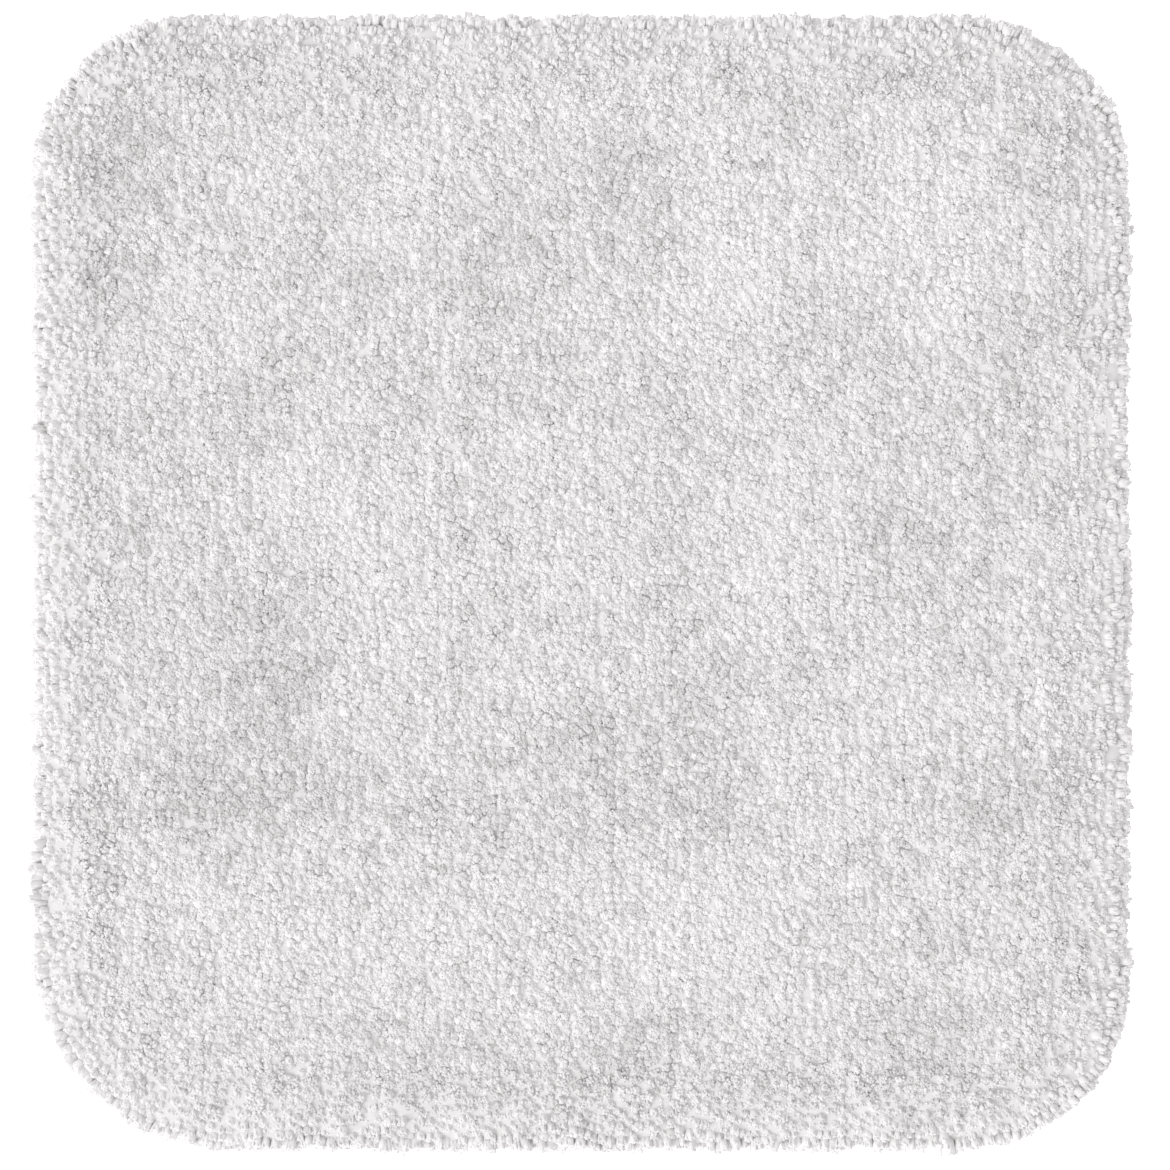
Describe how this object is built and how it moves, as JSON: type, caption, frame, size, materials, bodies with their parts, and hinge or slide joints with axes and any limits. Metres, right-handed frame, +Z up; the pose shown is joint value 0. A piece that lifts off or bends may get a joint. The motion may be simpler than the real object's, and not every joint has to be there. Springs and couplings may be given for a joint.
{
  "type": "bath mat",
  "caption": "Near-square tufted bath mat with rounded corners: dense cut pile on a woven backing, overlocked edge and a ribbed anti-slip latex underside.",
  "frame": {"origin": "on the floor, under the middle of the mat's outline", "axes": "+Z up out of the pile, +Y along the tuft rows (the longer side), +X across them"},
  "size_m": [0.596, 0.616, 0.025],
  "materials": {
    "pile_yarn": "matt white cut-pile yarn",
    "backing_cloth": "plain-woven off-white cloth",
    "binder_latex": "cream latex, matt",
    "grip_latex": "off-white textured latex, matt",
    "edge_thread": "white overlock thread",
    "label_tape": "blank white satin tape"
  },
  "bodies": {
    "root": {"anti_slip_coat": "grip_latex", "care_label": "label_tape", "latex_binder": "binder_latex", "primary_backing": "backing_cloth", "lower_looper_thread": "edge_thread", "needle_thread": "edge_thread", "upper_looper_thread": "edge_thread", "tuft_rows_01": "pile_yarn", "tuft_rows_02": "pile_yarn", "tuft_rows_03": "pile_yarn", "tuft_rows_04": "pile_yarn", "tuft_rows_05": "pile_yarn", "tuft_rows_06": "pile_yarn", "tuft_rows_07": "pile_yarn", "tuft_rows_08": "pile_yarn", "tuft_rows_09": "pile_yarn", "tuft_rows_10": "pile_yarn", "tuft_rows_11": "pile_yarn", "tuft_rows_12": "pile_yarn", "tuft_rows_13": "pile_yarn", "tuft_rows_14": "pile_yarn", "tuft_rows_15": "pile_yarn", "tuft_rows_16": "pile_yarn", "tuft_rows_17": "pile_yarn", "tuft_rows_18": "pile_yarn", "tuft_rows_19": "pile_yarn", "tuft_rows_20": "pile_yarn", "tuft_rows_21": "pile_yarn", "tuft_rows_22": "pile_yarn", "tuft_rows_23": "pile_yarn", "tuft_rows_24": "pile_yarn", "tuft_rows_25": "pile_yarn", "tuft_rows_26": "pile_yarn", "tuft_rows_27": "pile_yarn", "tuft_rows_28": "pile_yarn", "tuft_rows_29": "pile_yarn", "tuft_rows_30": "pile_yarn", "tuft_rows_31": "pile_yarn", "tuft_rows_32": "pile_yarn", "tuft_rows_33": "pile_yarn", "tuft_rows_34": "pile_yarn", "tuft_rows_35": "pile_yarn", "tuft_rows_36": "pile_yarn"}
  },
  "joints": []
}
